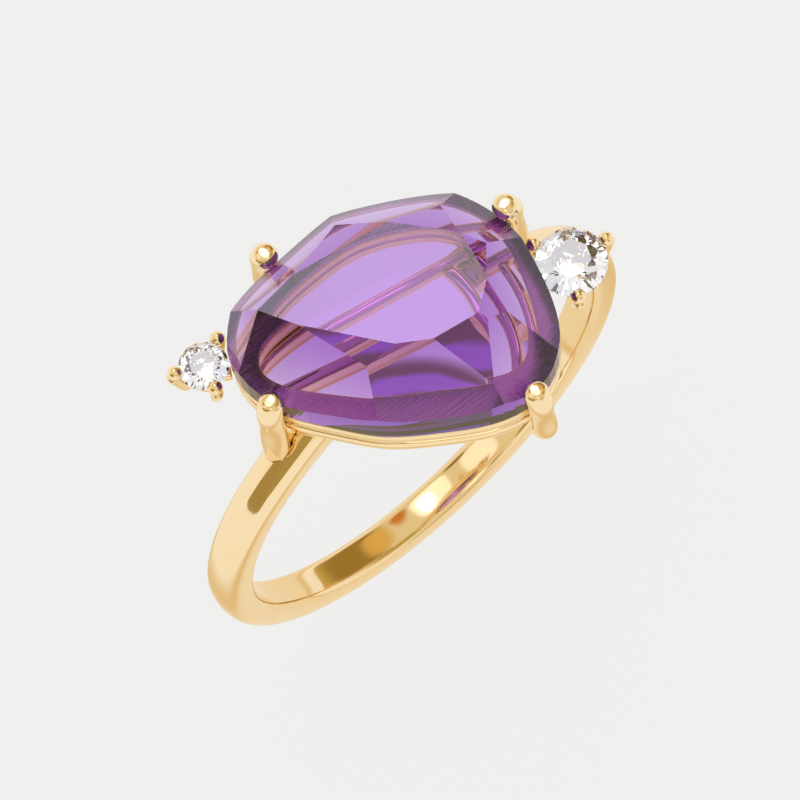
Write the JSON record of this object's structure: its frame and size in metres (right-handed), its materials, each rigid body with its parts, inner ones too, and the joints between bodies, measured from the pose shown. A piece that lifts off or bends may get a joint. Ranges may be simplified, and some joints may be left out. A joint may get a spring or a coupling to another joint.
{
  "type": "cocktail ring",
  "caption": "Cocktail ring with a claw-set pear-shaped purple stone on a two-rail gallery, flanked by round clear stones in claw baskets on a plain gold band.",
  "frame": {"origin": "middle of the band's inner face opposite the stones, where the ring rests on the finger", "axes": "+Z from that face through the centre of the finger hole to the big stone; +Y along the finger; +X towards the larger side stone"},
  "size_m": [0.02, 0.0123, 0.0243],
  "materials": {
    "yellow_gold": "high polish",
    "amethyst": "polished facets",
    "diamond": "polished facets"
  },
  "bodies": {
    "root": {"amethyst": "amethyst", "bridge_bar": "yellow_gold", "centre_claw_back_left": "yellow_gold", "centre_claw_back_right": "yellow_gold", "centre_claw_front_left": "yellow_gold", "centre_claw_front_right": "yellow_gold", "cross_bar": "yellow_gold", "large_basket_base_ring": "yellow_gold", "large_basket_seat_ring": "yellow_gold", "large_claw_back": "yellow_gold", "large_claw_front": "yellow_gold", "large_claw_outer": "yellow_gold", "large_diamond": "diamond", "large_setting_arm": "yellow_gold", "lower_gallery_rail": "yellow_gold", "shank": "yellow_gold", "small_basket_base_ring": "yellow_gold", "small_basket_seat_ring": "yellow_gold", "small_claw_back": "yellow_gold", "small_claw_front": "yellow_gold", "small_claw_outer": "yellow_gold", "small_diamond": "diamond", "small_setting_arm": "yellow_gold", "upper_gallery_rail": "yellow_gold"}
  },
  "joints": []
}
